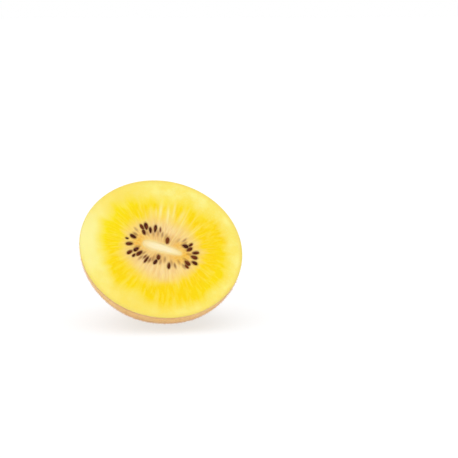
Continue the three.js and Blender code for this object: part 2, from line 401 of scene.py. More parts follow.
def core_material():
    """Woody cream core: denser, paler and duller than the flesh, with a soft edge and fine fibres."""
    material, tree, shader = new_material(
        "kiwi_core", Roughness=0.55, IOR=1.38, Specular_IOR_Level=0.15, Subsurface_Weight=0.3,
        Subsurface_Scale=0.0008, Subsurface_Radius=(1.0, 0.85, 0.6))
    own = add(tree, "attribute", attribute_name="own_mm", output="Vector")
    edge = add(tree, "attribute", attribute_name="edge", output="Fac")
    fibres = add(tree, "noise", add(tree, "stretch", own, Scale=(0.5, 2.2, 0.6)), Scale=1.0, Detail=3.0)
    spots = add(tree, "noise", own, Scale=1.4, Detail=3.0)
    colour = add(tree, "mix", add(tree, "step", fibres, 0.35, 0.65), linear("#ffe9b6"), linear("#ffeec6"))
    ragged = add(tree, "times", add(tree, "minus", spots, 0.5), 0.5)
    feathered = add(tree, "plus", edge, ragged, use_clamp=True)
    colour = add(tree, "mix", feathered, colour, linear("#ffe19c"))
    tree.links.new(colour, shader.inputs["Base Color"])
    bump = add(tree, "bump", Height=add(tree, "plus", fibres, spots), Distance=0.1 * MM, Strength=0.35)
    tree.links.new(bump, shader.inputs["Normal"])
    return material


def skin_material(look):
    """Thin leathery skin: peach-tan and finely mottled, with the soft pale sheen of down at its outline."""
    material, tree, shader = new_material(
        "downy_kiwi_skin", Roughness=0.7, IOR=1.45, Specular_IOR_Level=0.25, Sheen_Weight=0.75,
        Sheen_Roughness=0.4, Sheen_Tint=linear("#ffe1b6"), Subsurface_Weight=0.15, Subsurface_Scale=0.0008,
        Subsurface_Radius=(1.0, 0.6, 0.35))
    own = add(tree, "attribute", attribute_name="own_mm", output="Vector")
    # Clouds of about 14 mm, mottling near 0.8 mm, streaks 7 mm long along the fruit, dust near 0.2 mm
    clouds = add(tree, "noise", own, Scale=0.07, Detail=1.5, Roughness=0.5)
    mottle = add(tree, "noise", own, Scale=1.3, Detail=4.0, Roughness=0.6)
    streaks = add(tree, "noise", add(tree, "stretch", own, Scale=(1.0, 1.0, 0.14)), Scale=1.0, Detail=3.0)
    dust = add(tree, "noise", own, Scale=4.5, Detail=3.0, Roughness=0.7)
    cloudy = add(tree, "step", clouds, 0.25, 0.75)
    colour = add(tree, "mix", cloudy, tuple(look.skin_dark), tuple(look.skin_light))
    lighter = add(tree, "times", add(tree, "step", mottle, 0.38, 0.66), 0.4)
    colour = add(tree, "mix", lighter, colour, linear("#fcd29a"))
    darker = add(tree, "times", add(tree, "step", streaks, 0.44, 0.74), 0.3)
    colour = add(tree, "mix", darker, colour, linear("#bc8246"))
    # Painted shade: a brown line on the skin just under the cut edge, darkest at the lower left
    rim = add(tree, "attribute", attribute_name="painted_cut_shade", output="Fac")
    colour = add(tree, "mix", add(tree, "times", rim, 0.65), colour, linear("#a06a38"))
    # Painted light: a yellow glow on the thin skin behind the cut, standing in for light from the flesh that
    # comes out through it
    painted_glow = add(tree, "attribute", attribute_name="painted_glow", output="Fac")
    colour = add(tree, "mix", add(tree, "times", painted_glow, 0.5), colour, linear("#ffcf66"))
    # Pores: a small pale dot to every 1.6 mm or so, in a slightly darker ring
    pores = add(tree, "cells", own, Scale=0.62)
    dot = add(tree, "minus", 1.0, add(tree, "step", pores, 0.06, 0.16))
    ring = add(tree, "minus", 1.0, add(tree, "step", pores, 0.15, 0.28))
    colour = add(tree, "mix", add(tree, "times", ring, 0.25), colour, linear("#b07236"))
    colour = add(tree, "mix", add(tree, "times", dot, 0.5), colour, linear("#f4d8a8"))
    speck = add(tree, "times", add(tree, "step", dust, 0.5, 0.68), 0.4)
    colour = add(tree, "mix", speck, colour, linear("#f7d6a8"))
    # The beak is pinker and drier, nearly black in its pit
    beak = add(tree, "attribute", attribute_name="beak", output="Fac")
    colour = add(tree, "mix", beak, colour, linear("#9c6444"))
    pit = add(tree, "attribute", attribute_name="pit", output="Fac")
    blotched = add(tree, "times", pit, add(tree, "step", mottle, 0.3, 0.6))
    colour = add(tree, "mix", blotched, colour, linear("#3c2416"))
    # Its cut edge is pale, with the flesh's yellow coming through
    cut = add(tree, "attribute", attribute_name="cut", output="Fac")
    colour = add(tree, "mix", cut, colour, linear("#fbe27c"))
    tree.links.new(colour, shader.inputs["Base Color"])
    relief = add(tree, "plus", mottle, add(tree, "times", add(tree, "plus", dot, dust), 0.35))
    bump = add(tree, "bump", Height=relief, Distance=0.15 * MM, Strength=0.6)
    tree.links.new(bump, shader.inputs["Normal"])
    return material


def seed_material():
    """Hard seed coats, wet from the cut: very dark red-brown, some lighter, finely pitted."""
    material, tree, shader = new_material(
        "kiwi_seed_coat", Roughness=0.4, IOR=1.45, Specular_IOR_Level=0.1, Coat_Weight=0.03,
        Coat_Roughness=0.2)
    tone = add(tree, "attribute", attribute_name="tone", output="Fac")
    place = add(tree, "object place", output="Object")
    # Pits 0.2 mm apart and light patches near 1 mm
    pits = add(tree, "cells", place, Scale=5200.0)
    patches = add(tree, "noise", place, Scale=1100.0, Detail=3.0)
    colour = add(tree, "mix", tone, linear("#3e1404"), linear("#74350e"))
    colour = add(tree, "mix", add(tree, "step", patches, 0.48, 0.74), colour, linear("#84401a"))
    tree.links.new(colour, shader.inputs["Base Color"])
    bump = add(tree, "bump", Height=pits, Distance=0.03 * MM, Strength=0.5)
    tree.links.new(bump, shader.inputs["Normal"])
    return material


def hair_material():
    """Short dry plant hairs, straw to light brown, in tufts of about 3 mm."""
    material, tree, shader = new_material("dry_down", Roughness=0.55, Specular_IOR_Level=0.3)
    place = add(tree, "object place", output="Object")
    tufts = add(tree, "noise", place, Scale=320.0)
    colour = add(tree, "mix", add(tree, "step", tufts, 0.4, 0.6), linear("#cd9458"), linear("#f5cf9c"))
    tree.links.new(colour, shader.inputs["Base Color"])
    return material


def style_material():
    """Dried remains of the flower's styles: brittle, dull and dark, frayed lighter."""
    material, tree, shader = new_material("dried_styles", Roughness=0.85, Specular_IOR_Level=0.2)
    place = add(tree, "object place", output="Object")
    fray = add(tree, "noise", place, Scale=1800.0, Detail=4.0, Roughness=0.7)
    colour = add(tree, "mix", add(tree, "step", fray, 0.35, 0.7), linear("#3a2314"), linear("#8c6540"))
    tree.links.new(colour, shader.inputs["Base Color"])
    bump = add(tree, "bump", Height=fray, Distance=0.1 * MM, Strength=0.8)
    tree.links.new(bump, shader.inputs["Normal"])
    return material


def floor_material():
    """Matt white acrylic table, lit from within a little.

    That light keeps the fruit's shadow pale, and its coolness makes the shadow grey.
    """
    material, tree, shader = new_material(
        "white_acrylic_table", Roughness=0.7, Specular_IOR_Level=0.1, Emission_Color=linear("#ecfdff"),
        Emission_Strength=0.655)
    place = add(tree, "object place", output="Object")
    # Hardly seen patches of half a metre
    tint = add(tree, "noise", place, Scale=2.0)
    colour = add(tree, "mix", tint, linear("#ac9c9b"), linear("#af9f9e"))
    tree.links.new(colour, shader.inputs["Base Color"])
    return material


# Shapes

def dress(piece, material, slot, *nodes):
    """Gives a piece its material and says where it belongs."""
    piece.data.materials.clear()
    piece.data.materials.append(material)
    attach(piece, "root")
    if nodes:
        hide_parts(*nodes)


def seed_places(fruit):
    """Each dark seed's place on the cut, heading and size in the fruit's own axes."""
    return [seed_place(fruit, degrees, share, math.radians(twist)) + (long_way, wide)
            for degrees, share, twist, long_way, wide in SEEDS]


def seed_place(fruit, degrees, share, twist=0.0):
    """Where a seed lies on the cut and which way it points: outwards from the core, and twisted."""
    turn = np.array(math.radians(degrees))
    here = fruit.face(np.array(share), turn, SEEDS_FROM_SKIN, SEEDS_FROM_CORE)
    there = fruit.face(np.array(share + 0.01), turn, SEEDS_FROM_SKIN, SEEDS_FROM_CORE)
    heading = math.atan2(there[1] - here[1], there[0] - here[0]) + twist
    return here[0], here[1], heading


def seed_field(points, place, long_half, wide_half):
    """How near points of the face are to a seed: 0 in its middle, 1 on its edge, in its own ellipse."""
    dx, dy = points[..., 0] - place[0], points[..., 1] - place[1]
    along = dx * math.cos(place[2]) + dy * math.sin(place[2])
    beside = -dx * math.sin(place[2]) + dy * math.cos(place[2])
    return np.sqrt((along / long_half) ** 2 + (beside / wide_half) ** 2)


def lobe(degrees, middle, width):
    """1 in one direction round the core, falling off on both sides of it."""
    off = np.mod(degrees - middle + 180, 360) - 180
    return np.exp(-(off / width) ** 2)


def pale_threads(turn, share):
    """Pale threads between the chambers: broad and bright above the core, fine and faint elsewhere."""
    draw = np.random.default_rng(17)
    total = np.zeros_like(share)
    for degrees in np.cumsum(draw.uniform(2.2, 7.8, PALE_THREADS)):
        above = lobe(degrees, 92, 32)
        strength = draw.uniform(0.1, 1) * (0.18 + 0.9 * above)
        width = math.radians(draw.uniform(0.4, 0.8) + draw.uniform(0.5, 1.9) * above)
        start, end = draw.uniform(0.26, 0.44), draw.uniform(0.52, 0.7) + 0.12 * above
        bend = draw.uniform(-0.15, 0.15)
        off = np.mod(turn - math.radians(degrees) - bend * (share - 0.4) + math.pi, 2 * math.pi) - math.pi
        line = np.exp(-(off / width) ** 2) * smooth(share, start - 0.06, start + 0.12)
        total = np.maximum(total, strength * line * (1 - smooth(share, end - 0.24, end)))
    return total


def face_masks(turn, share):
    """Masks of the cut face, and how far its chambers are sunk, at each turn and share of the way out."""
    # Which chamber a point is in, and its place there: -1 and 1 are the chamber's two sides
    draw = np.random.default_rng(5)
    edges = (np.arange(CHAMBERS + 1) - 0.5) * 2 * math.pi / CHAMBERS
    wobble = draw.uniform(-0.22, 0.22, CHAMBERS) * 2 * math.pi / CHAMBERS
    edges = edges + np.append(wobble, wobble[0])
    turned = np.mod(turn - edges[0], 2 * math.pi) + edges[0]
    index = np.clip(np.searchsorted(edges, turned, side="right") - 1, 0, CHAMBERS - 1)
    place = (turned - edges[index]) / (edges[index + 1] - edges[index]) * 2 - 1
    inside = 1 - np.abs(place) ** 2.2
    reach = draw.uniform(-0.05, 0.05, CHAMBERS)[index]
    strength = draw.uniform(0.92, 1.0, CHAMBERS)[index]

    # The golden ring, weaker above the core and yellower where it is light
    degrees = np.degrees(turn)
    top, bottom = lobe(degrees, 98, 30), lobe(degrees, 272, 44)
    sides = np.cos(turn) ** 2
    start = np.interp(degrees, RING_DIRECTIONS, RING_STARTS, period=360)
    start = start + 0.03 * waves(turn, 3, 6, 20, 5)
    end = np.interp(degrees, RING_DIRECTIONS, RING_ENDS, period=360)
    end = end + reach * inside + 0.022 * waves(turn, 4, 4, 13, 4)
    gold = smooth(share, start - 0.18, start + 0.12) * (1 - smooth(share, end - 0.14, end + 0.16))
    gold = gold * (0.93 + 0.07 * inside) * strength * (1 - 0.2 * top)
    deep = np.maximum(np.maximum(lobe(degrees, 40, 24), lobe(degrees, 292, 26)), 0.6 * lobe(degrees, 236, 18))
    lemon = 0.55 * smooth(share, 0.5, 0.72) * (1 - deep) + 0.6 * lobe(degrees, 172, 45)

    # The zone of the seeds, and the colours close round the core
    reach_in = 1 - smooth(share, 0.2 + 0.04 * bottom, 0.42 + 0.06 * bottom)
    peach = reach_in * (0.35 + 0.6 * np.maximum(top, bottom))
    peach = peach + 0.3 * (1 - sides) * (1 - smooth(share, 0.26, 0.44))
    peach = peach + 0.5 * lobe(degrees, 284, 17) * np.exp(-((share - 0.41) / 0.07) ** 2)
    tan = (1 - 0.8 * sides) * (1 - smooth(share, 0.08, 0.24))
    low_right = lobe(degrees, 314, 22) * (1 - smooth(share, 0.1, 0.2))
    pocket = lobe(degrees, 56, 12) * np.exp(-((share - 0.08) / 0.06) ** 2)
    amber = sides ** 2 * (1 - smooth(share, 0.08, 0.26)) * 0.95 + 0.5 * low_right + 0.6 * pocket
    halo_width = 0.026 + 0.016 * np.maximum(lobe(degrees, 125, 30), lobe(degrees, 235, 30))
    halo = np.exp(-(share / halo_width) ** 1.6)
    masks = {
        "gold": gold, "peach": peach, "tan": tan, "amber": amber,
        "ray": pale_threads(turn, share), "halo": halo,
        "inner": 1 - smooth(share, 0.36, 0.62), "lemon": lemon,
        # painted light: the outer flesh on the left, where the light falls, is made paler
        "painted_lit_side": lobe(degrees, 190, 34) * smooth(share, 0.6, 0.85),
        "deep_side": np.maximum(lobe(degrees, 268, 30), lobe(degrees, 140, 24)) * smooth(share, 0.6, 0.8),
        "under_skin": smooth(share, 0.93, 1.0) * (1 - lobe(degrees, 188, 40)),
    }
    sunk = inside * smooth(share, 0.02, 0.12) * (1 - smooth(share, 0.24, 0.56))
    return {name: np.clip(mask, 0, 1) for name, mask in masks.items()}, sunk


def flesh_piece(fruit, detail):
    """The cut face with its chambers, seed beds and rim, and the hidden side in the skin."""
    count = detail.face_segments
    turn = np.arange(count) / count * 2 * math.pi
    # Rings of the cut: closest among the seeds, wider further out, and close again at the rim
    shares = np.concatenate([np.linspace(0, 0.34, 34), np.linspace(0.355, 0.97, 40), [0.985, 0.994, 1.0]])
    share, around = np.meshgrid(shares, turn, indexing="ij")
    face = fruit.face(share, around)
    masks, sunk = face_masks(around, share)
    # Sunk chambers, the knife's shallow waves, and fine threads
    height = -CHAMBER_DEPTH * sunk
    height += 0.05 * waves(around, 8, 3, 9, 5) * smooth(share, 0.1, 0.4) * (1 - smooth(share, 0.8, 1.0))
    fine = smooth(share, 0.03, 0.12) * (1 - smooth(share, 0.6, 0.85))
    height += 0.009 * waves(around, 9, 60, 140, 8) * fine
    shade = np.zeros_like(share)
    for place in seed_places(fruit):
        near = seed_field(face, place, place[3] / 2 + SEED_BED, place[4] / 2 + SEED_BED)
        height -= SEED_BED_DEPTH * np.exp(-((near - 0.85) / 0.35) ** 2)
        shade = np.maximum(shade, 0.7 * (1 - smooth(near, 0.7, 1.35)))
    for degrees, out, shows in SHADE_SEEDS:
        place = seed_place(fruit, degrees, out)
        near = seed_field(face, place, SHADE_SEED_LONG, SHADE_SEED_WIDE)
        height += SHADE_SEED_BULGE * (1 - smooth(near, 0.3, 1.2))
        shade = np.maximum(shade, shows * (1 - smooth(near, 0.2, 1.3)))
    face[..., 2] = height
    masks["shade"] = shade

    angles = np.linspace(0, FLESH_LAST_RING, SIDE_RINGS + 1)[1:][:, None]
    side = fruit.body(angles, turn[None, :], np.full((SIDE_RINGS, count), FLESH_INSET))
    # The core's bed from its far end up, then the cut, then the hidden side
    bed_end = -CORE_LENGTH - CORE_END_GAP
    bed = [fruit.core(turn, CORE_GAP, CORE_END), fruit.core(turn, CORE_GAP, 1.0)]
    bed[0][:, 2] = bed_end
    bed[1][:, 2] = -CORE_BED_TOP
    own = np.concatenate([np.stack(bed), face, side])
    own_points = np.concatenate([[[CORE_SHIFT, 0, bed_end]], own.reshape(-1, 3), [side[-1].mean(0)]])
    points = settle(fruit.to_row(own_points), FLESH_FLOOR)
    polar = np.stack([np.cos(around), np.sin(around), share], -1)
    before, after = np.zeros((2, count)), np.zeros((SIDE_RINGS, count))
    floats = {key: np.concatenate([[0], before.ravel(), value.ravel(), after.ravel(), [0]])
              for key, value in masks.items()}
    flat = np.stack([np.cos(turn), np.sin(turn), np.zeros(count)], -1)
    polar = np.concatenate([[[0, 0, 0]], np.tile(flat, (2, 1)), polar.reshape(-1, 3),
                            np.tile(flat + [0, 0, 1], (SIDE_RINGS, 1)), [[0, 0, 1]]])
    faces = grid_faces(2 + len(shares) + SIDE_RINGS, count)
    return new_piece("flesh_cut", points, faces, floats, {"own_mm": own_points, "polar": polar})


def skin_outside(fruit, turn, ring_count):
    """Rings of the outside from the rim to the beak, with soft dents and ridges that gather at the beak."""
    draw = np.random.default_rng(12)
    angles = np.linspace(0, math.radians(88), ring_count)
    angles = angles[fruit.depth * np.sin(angles) < BODY_END - 0.05][:, None]
    deep = np.sin(angles) * np.ones_like(turn)[None, :]
    dent = np.zeros_like(deep)
    for _ in range(SKIN_DENTS):
        times, along = draw.integers(1, 7), draw.uniform(2, 9)
        dent += draw.uniform(0.3, 1) * np.cos(times * turn[None, :] + along * deep + draw.uniform(0, 6.28))
    ridges = smooth(deep, 0.72, 0.93) * waves(turn, 21, 9, 17, 4)[None, :]
    dent = DENT_DEPTH * dent + BEAK_RIDGE * ridges + SKIN_SWELL
    return fruit.body(angles, turn[None, :], -dent * smooth(deep, 0.02, 0.3))


def skin_piece(fruit, detail):
    """The skin with its cut edge, uneven outside, beak and inner side."""
    count = detail.skin_segments
    turn = np.arange(count) / count * 2 * math.pi
    outside = skin_outside(fruit, turn, detail.skin_rings)
    swell = 1 + 0.03 * waves(turn, 22, 3, 8, 4) + 0.02 * waves(turn, 23, 12, 24, 4)
    beak = [np.stack([radius * swell * np.cos(turn), radius * swell * np.sin(turn),
                      -depth + 0.06 * waves(turn, 24, 4, 9, 4)], -1) for radius, depth in BEAK]
    inner_angles = np.linspace(SKIN_LAST_RING, 0, INNER_RINGS)[:, None]
    inside = fruit.body(inner_angles, turn[None, :], np.full((INNER_RINGS, count), SKIN_WALL))
    across = np.array(LIP_ACROSS)[:, None]
    # The cut edge is a little uneven, and its two sides are drawn just under the flesh's level
    lip = fruit.body(np.zeros_like(across), turn[None, :], np.repeat(SKIN_WALL * across, count, 1))
    lip[..., 2] = -0.02 + 0.012 * waves(turn, 25, 20, 50, 4)[None, :]
    inside[-1][:, 2] = -0.03
    outside[0][:, 2] = -0.06
    # From the middle of the cup's inner end, up the inner side, over the lip, down the outside
    rings = np.concatenate([inside, lip, outside, np.stack(beak)])
    own = np.concatenate([[inside[0].mean(0)], rings.reshape(-1, 3), [[0, 0, -BEAK_PIT_DEPTH]]])
    row = fruit.to_row(own)
    inner = 1 + INNER_RINGS * count
    row[:inner] = settle(row[:inner], SKIN_INSIDE_FLOOR)
    row[inner:] = settle(row[inner:], 0.0)

    depth_mm, radial = -own[:, 2], np.hypot(own[:, 0], own[:, 1])
    cut = np.zeros(len(rings))
    cut[INNER_RINGS - 1:INNER_RINGS + len(LIP_ACROSS)] = 1
    outer = np.arange(len(own)) >= inner + len(LIP_ACROSS) * count
    around = np.arctan2(own[:, 1], own[:, 0])
    # The painted shade under the cut edge is darkest towards the lower left
    lower_left = 0.35 + 0.65 * lobe(np.degrees(around), 225, 40)
    beak_mask = 0.35 * smooth(depth_mm, 34.5, 38.5) + 0.3 * smooth(depth_mm, 38.4, 39.6)
    floats = {
        "cut": np.concatenate([[0], np.repeat(cut, count), [0]]),
        "beak": np.clip(beak_mask * (1 + 0.3 * waves(around, 26, 3, 9, 4)), 0, 1),
        "pit": outer * (1 - smooth(radial, 1.4, 2.7)),
        # painted shade on the outside of the skin, just under the cut edge
        "painted_cut_shade": outer * (1 - smooth(depth_mm, 0.2, 1.4)) * lower_left,
        # painted glow of light through the skin, just behind the cut
        "painted_glow": outer * smooth(depth_mm, 0.4, 2.4) * (1 - smooth(depth_mm, 3.0, 11.0)),
        "fuzzy": outer * (depth_mm > 2.0) * (row[:, 2] > 0.9) * (radial > 2.2),
    }
    return new_piece("skin_shell", row, grid_faces(len(rings), count), floats, {"own_mm": own})


# Geometry Nodes

def node_group(name, inputs):
    """An empty modifier group with named inputs: (name, socket type, default)."""
    group = bpy.data.node_groups.new(name, "GeometryNodeTree")
    group.interface.new_socket("Geometry", in_out="INPUT", socket_type="NodeSocketGeometry")
    for label, kind, default in inputs:
        socket = group.interface.new_socket(label, in_out="INPUT", socket_type=kind)
        socket.default_value = default
    group.interface.new_socket("Geometry", in_out="OUTPUT", socket_type="NodeSocketGeometry")
    return group, group.nodes.new("NodeGroupInput").outputs


def finish_group(group, geometry, material):
    """Ends a group as every group here ends: real geometry with its material."""
    solid = add(group, "realize", geometry)
    finished = add(group, "material", solid, Material=material)
    group.links.new(finished, group.nodes.new("NodeGroupOutput").inputs[0])
    return group


def run_group(name, base, group, values):
    """Runs a group on a base object, which it removes, and keeps the result as a plain mesh piece."""
    modifier = base.modifiers.new(group.name, "NODES")
    modifier.node_group = group
    by_name = {item.name: item.identifier for item in group.interface.items_tree
               if item.item_type == "SOCKET" and item.in_out == "INPUT"}
    for label, value in values.items():
        modifier[by_name[label]] = value
    bpy.context.view_layer.update()
    graph = bpy.context.evaluated_depsgraph_get()
    mesh = bpy.data.meshes.new_from_object(base.evaluated_get(graph))
    base.modifiers.remove(modifier)
    bpy.data.objects.remove(base)
    mesh.name = name
    piece = bpy.data.objects.new(name, mesh)
    bpy.context.scene.collection.objects.link(piece)
    if len(mesh.polygons) == 0:
        raise RuntimeError(name + " came out empty")
    return piece


def core_group(material):
    """Shapes a globe into the core: its upper half into the cut end, its lower half into the column."""
    group, given = node_group("core_column", [
        ("Long", "NodeSocketFloat", CORE_LONG), ("Short", "NodeSocketFloat", CORE_SHORT),
        ("Blunt", "NodeSocketFloat", CORE_BLUNT), ("Square", "NodeSocketFloat", CORE_SQUARE),
        ("Shift", "NodeSocketFloat", CORE_SHIFT), ("Length", "NodeSocketFloat", CORE_LENGTH),
        ("End", "NodeSocketFloat", CORE_END), ("Crown", "NodeSocketFloat", CORE_CROWN),
        ("Segments", "NodeSocketInt", 144), ("Rings", "NodeSocketInt", 44)])
    globe = add(group, "globe", given["Segments"], given["Rings"], 1.0)
    x = add(group, "split", add(group, "position"))
    y, z = x.node.outputs["Y"], x.node.outputs["Z"]
    out = add(group, "root", add(group, "plus", add(group, "times", x, x), add(group, "times", y, y)))
    cosine, sine = add(group, "over", x, out), add(group, "over", y, out)
    upper = add(group, "more than", z, -0.001)
    lower = add(group, "minus", 1.0, upper)
    down = add(group, "larger", add(group, "times", z, -1.0), 0.0)
    # How wide each ring is: the share of the way out on the cut end, and narrowing down the column
    narrowed = add(group, "minus", 1.0, add(group, "times", down, add(group, "minus", 1.0, given["End"])))
    wide = add(group, "plus", add(group, "times", upper, out), add(group, "times", lower, narrowed))
    blunt = add(group, "minus", 1.0, add(group, "times", given["Blunt"], cosine))
    squared = add(group, "times", add(group, "sign of", sine),
                  add(group, "power", add(group, "size of", sine), given["Square"]))
    across = add(group, "times", add(group, "times", given["Short"], blunt), squared)
    crown = add(group, "times", given["Crown"], add(group, "minus", 1.0, add(group, "times", out, out)))
    own = add(group, "join",
              add(group, "plus", given["Shift"],
                  add(group, "times", wide, add(group, "times", given["Long"], cosine))),
              add(group, "times", wide, across),
              add(group, "minus", add(group, "times", upper, crown),
                  add(group, "times", given["Length"], down)))
    edge = add(group, "larger", add(group, "step", out, 0.5, 1.0), lower)
    solid = add(group, "keep number", globe, None, "edge", edge)
    solid = add(group, "keep vector", solid, None, "own_mm", own)
    placed = add(group, "vector", "own_mm")
    solid = add(group, "move", solid, None, add(group, "longer", placed, Scale=MM))
    return finish_group(group, add(group, "smooth shade", solid), material)


def seed_group(material):
    """Sets a pip on each point: an egg that narrows towards the core, turned and scaled."""
    group, given = node_group("seed_ring", [
        ("Unit", "NodeSocketFloat", MM), ("Thickness", "NodeSocketFloat", 0.85 * MM),
        ("Narrowing", "NodeSocketFloat", 0.28)])
    ball = add(group, "fine ball", 1.0, 4)
    x = add(group, "split", add(group, "position"))
    y, z = x.node.outputs["Y"], x.node.outputs["Z"]
    slim = add(group, "plus", 1.0, add(group, "times", x, given["Narrowing"]))
    half = add(group, "times", given["Unit"], 0.5)
    half_thick = add(group, "times", given["Thickness"], 0.5)
    shaped = add(group, "join", add(group, "times", x, half),
                 add(group, "times", add(group, "times", y, slim), half),
                 add(group, "times", add(group, "times", z, slim), half_thick))
    pip = add(group, "move", ball, None, shaped)
    size = add(group, "join", add(group, "number", "size"), add(group, "number", "breadth"), 1.0)
    turned = add(group, "rotation", add(group, "vector", "turn"))
    pips = add(group, "instances", given["Geometry"], Instance=pip, Rotation=turned, Scale=size)
    return finish_group(group, add(group, "smooth shade", add(group, "realize", pips)), material)


def hair_group(material):
    """Sows short tapered hairs on the fuzzy part of a surface, each leaning its own way.

    The down of a real fruit is finer and denser: these hairs are drawn coarser, to be few enough.
    """
    group, given = node_group("skin_down", [
        ("Density", "NodeSocketFloat", 1.0), ("Seed", "NodeSocketInt", 3),
        ("Hair Length", "NodeSocketFloat", 0.6 * MM), ("Hair Radius", "NodeSocketFloat", 0.02 * MM)])
    fuzzy = add(group, "more than", add(group, "number", "fuzzy"), 0.5)
    sown = add(group, "sow", given["Geometry"], fuzzy, given["Density"], given["Seed"])
    hair = add(group, "cone", Vertices=3, Radius_Top=0.0, Radius_Bottom=given["Hair Radius"],
               Depth=given["Hair Length"])
    any_turn = add(group, "random", 0.0, 2 * math.pi, None, 7)
    any_lean = add(group, "random", 0.5, 1.15, None, 8)
    spin = add(group, "rotation", add(group, "join", 0.0, 0.0, any_turn))
    tilt = add(group, "rotation", add(group, "join", any_lean, 0.0, 0.0))
    turned = add(group, "turn on", sown.node.outputs["Rotation"], spin)
    turned = add(group, "turn on", turned, tilt)
    size = add(group, "random", 0.45, 1.25, None, 9)
    hairs = add(group, "instances", sown, Instance=hair, Rotation=turned, Scale=size)
    return finish_group(group, hairs, material)


def style_group(material):
    """Sets a bent tapered strand on each point, turned and scaled."""
    group, given = node_group("style_strands", [
        ("Length", "NodeSocketFloat", 1.3 * MM), ("Radius", "NodeSocketFloat", 0.15 * MM),
        ("Bend", "NodeSocketFloat", 0.35)])
    cone = add(group, "cone", 6, 6, 1, add(group, "times", given["Radius"], 0.25), given["Radius"],
               given["Length"])
    x = add(group, "split", add(group, "position"))
    y, z = x.node.outputs["Y"], x.node.outputs["Z"]
    share = add(group, "over", z, given["Length"])
    bent = add(group, "times", add(group, "times", given["Bend"], z), share)
    strand = add(group, "move", cone, None, add(group, "join", add(group, "plus", x, bent), y, z))
    turned = add(group, "rotation", add(group, "vector", "turn"))
    strands = add(group, "instances", given["Geometry"], Instance=strand, Rotation=turned,
                  Scale=add(group, "number", "size"))
    return finish_group(group, strands, material)


# Properties

class FruitShape(bpy.types.PropertyGroup):
    """Sizes of the half fruit and how it lies"""

    long_radius: FloatProperty(name="Long radius", description="Half the long way across the cut, mm",
                               default=27.15)
    short_radius: FloatProperty(name="Short radius", description="Half the short way across the cut, mm",
                                default=24.13)
    depth: FloatProperty(name="Depth", description="From the cut to the body's far end, mm", default=39.5)
    taper: FloatProperty(name="Taper", description="How soon the body narrows behind the cut", default=1.8)
    lean: FloatProperty(name="Lean", description="Lean of the cut back from upright", subtype="ANGLE",
                        default=math.radians(32))
    roll: FloatProperty(name="Roll", description="Turn about the fruit's length", subtype="ANGLE",
                        default=math.radians(19.3))
    flat_depth: FloatProperty(name="Flat depth", description="How far the round side is pressed flat, mm",
                              default=0.55)


class MeshDetail(bpy.types.PropertyGroup):
    """How fine the meshes are"""

    face_segments: IntProperty(name="Face segments", description="Points round the cut face", default=720)
    core_segments: IntProperty(name="Core segments", description="Points round the core", default=144)
    skin_segments: IntProperty(name="Skin segments", description="Points round the skin", default=300)
    skin_rings: IntProperty(name="Skin rings", description="Rings from the cut to the beak", default=110)
    hair_density: FloatProperty(name="Hair density", description="Hairs on a square metre of skin",
                                default=4e6)
    hair_length: FloatProperty(name="Hair length", description="Length of a hair", unit="LENGTH",
                               default=0.0007)


class FruitColours(bpy.types.PropertyGroup):
    """Main colours"""

    rim: FloatVectorProperty(name="Rim", description="Outer flesh", subtype="COLOR", size=4,
                             default=linear("#fce66a"))
    gold: FloatVectorProperty(name="Gold", description="Flesh of the chambers", subtype="COLOR", size=4,
                              default=linear("#fcd200"))
    skin_dark: FloatVectorProperty(name="Skin dark", description="Darker skin", subtype="COLOR", size=4,
                                   default=linear("#dc9553"))
    skin_light: FloatVectorProperty(name="Skin light", description="Lighter skin", subtype="COLOR", size=4,
                                    default=linear("#f5be80"))


class StageSettings(bpy.types.PropertyGroup):
    """Camera and light"""

    elevation: FloatProperty(name="Elevation", description="Camera above the table's level", subtype="ANGLE",
                             default=math.radians(9.9))
    azimuth: FloatProperty(name="Azimuth", description="Camera round from straight ahead", subtype="ANGLE",
                           default=math.radians(-6.4))
    distance: FloatProperty(name="Distance", description="Camera to its target", unit="LENGTH", default=0.441)
    lens: FloatProperty(name="Lens", description="Focal length, mm", default=105.0)
    target_right: FloatProperty(name="Target right", description="Target right of the cut's middle",
                                unit="LENGTH", default=0.0224)
    target_up: FloatProperty(name="Target up", description="Target above the cut's middle", unit="LENGTH",
                             default=0.0062)
    world_light: FloatProperty(name="World light", description="Strength of the white surroundings",
                               default=0.63)
    key_light: FloatProperty(name="Key light", description="Strength of the overhead light, W/m²",
                             default=1.76)
    key_softness: FloatProperty(name="Key softness", description="How wide the overhead light looks",
                                subtype="ANGLE", default=math.radians(100))
    key_from: FloatVectorProperty(name="Key from", description="Direction that the overhead light comes from",
                                  subtype="DIRECTION", default=(-0.16, 0.0, 0.95))


def settings():
    """The settings that the panel shows, as they are in this scene."""
    return bpy.context.scene.golden_kiwi


# Operators

class FRUIT_OT_skin(bpy.types.Operator):
    """Build the skin with its beak"""

    bl_idname = "fruit.kiwi_skin"
    bl_label = "Skin"

    def execute(self, context):
        chosen = settings()
        piece = skin_piece(Fruit(chosen.shape), chosen.detail)
        dress(piece, skin_material(chosen.colours), "skin", "skin")
        return {"FINISHED"}


class FRUIT_OT_flesh(bpy.types.Operator):
    """Build the flesh with its cut face"""

    bl_idname = "fruit.kiwi_flesh"
    bl_label = "Flesh"

    def execute(self, context):
        chosen = settings()
        piece = flesh_piece(Fruit(chosen.shape), chosen.detail)
        dress(piece, flesh_material(chosen.colours), "flesh", "flesh")
        return {"FINISHED"}


class FRUIT_OT_core(bpy.types.Operator):
    """Build the core"""

    bl_idname = "fruit.kiwi_core"
    bl_label = "Core"

    def execute(self, context):
        chosen = settings()
        base = new_piece("core_start", np.zeros((1, 3)), [])
        material = core_material()
        piece = run_group("core_cut", base, core_group(material), {"Segments": chosen.detail.core_segments})
        piece.data.transform(Fruit(chosen.shape).matrix())
        dress(piece, material, "core", "core")
        return {"FINISHED"}


